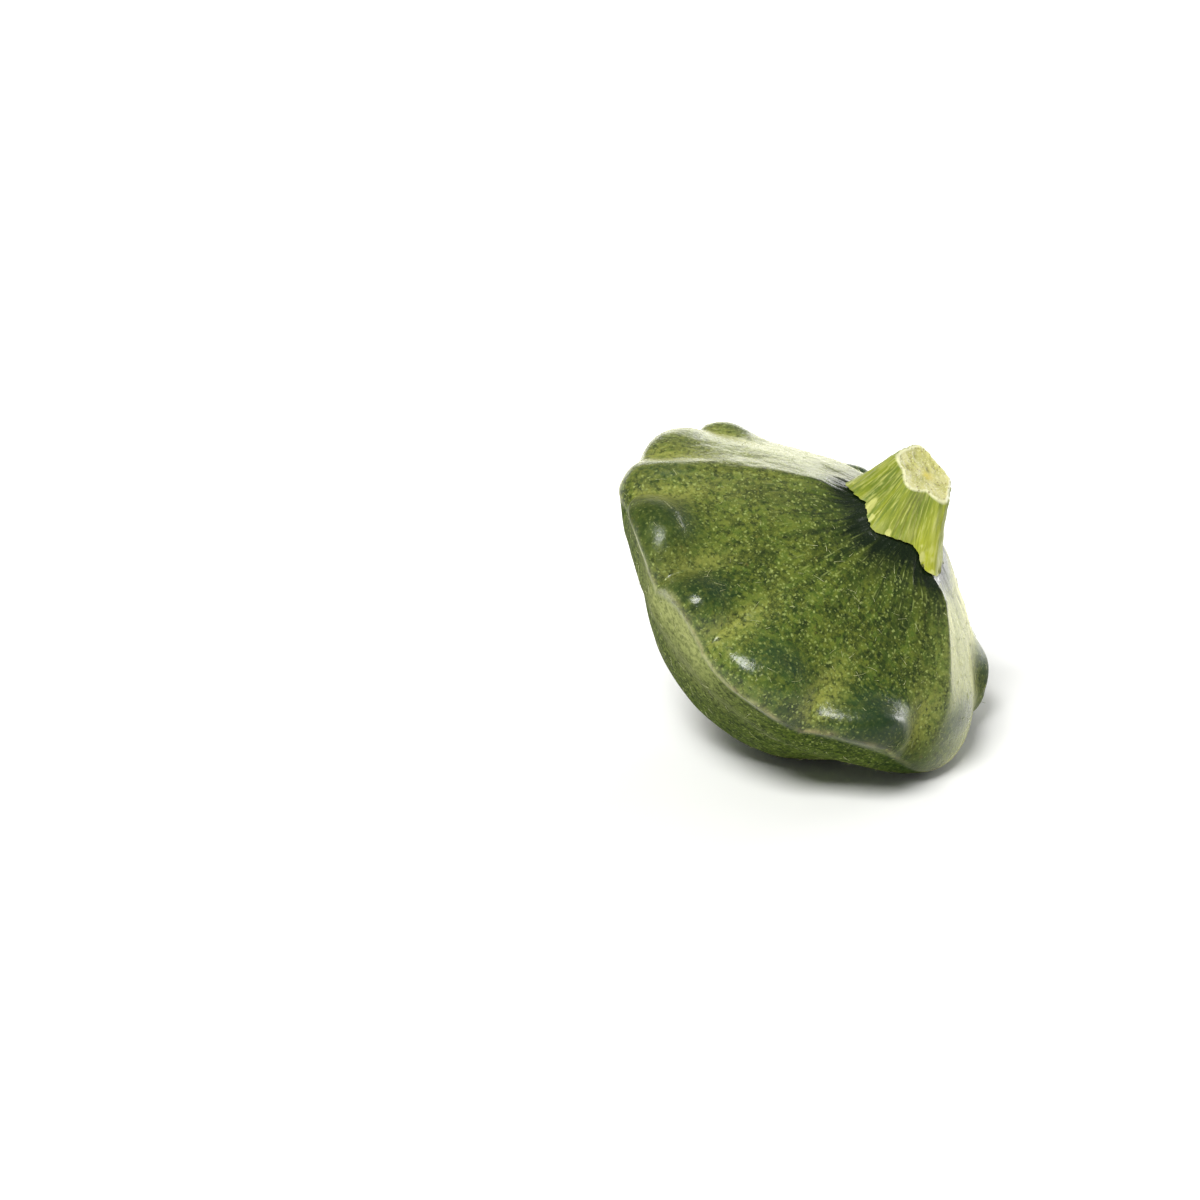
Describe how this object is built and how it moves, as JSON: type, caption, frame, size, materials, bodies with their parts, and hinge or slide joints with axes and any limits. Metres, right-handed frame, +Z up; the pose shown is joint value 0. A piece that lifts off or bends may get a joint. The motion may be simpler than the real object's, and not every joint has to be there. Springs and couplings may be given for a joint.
{
  "type": "pattypan squash",
  "caption": "Whole green pattypan squash with a scalloped rim and a cut stem stub, lying tipped on its underside.",
  "frame": {"origin": "on the ground, under the middle of the whole squash's box, as it lies", "axes": "+Z up, +X to the side the stem leans to, +Y along the long way of the tipped rim, away from its near edge"},
  "size_m": [0.075, 0.086, 0.0629],
  "materials": {
    "skin": "waxy, mottled dark and yellow green with fine pale speckles; gloss plastic stands in for vegetable skin",
    "stem": "pale yellow green, ribbed along its length; matte plastic stands in for plant stalk"
  },
  "bodies": {
    "root": {"fruit": "skin", "stem": "stem"}
  },
  "joints": []
}
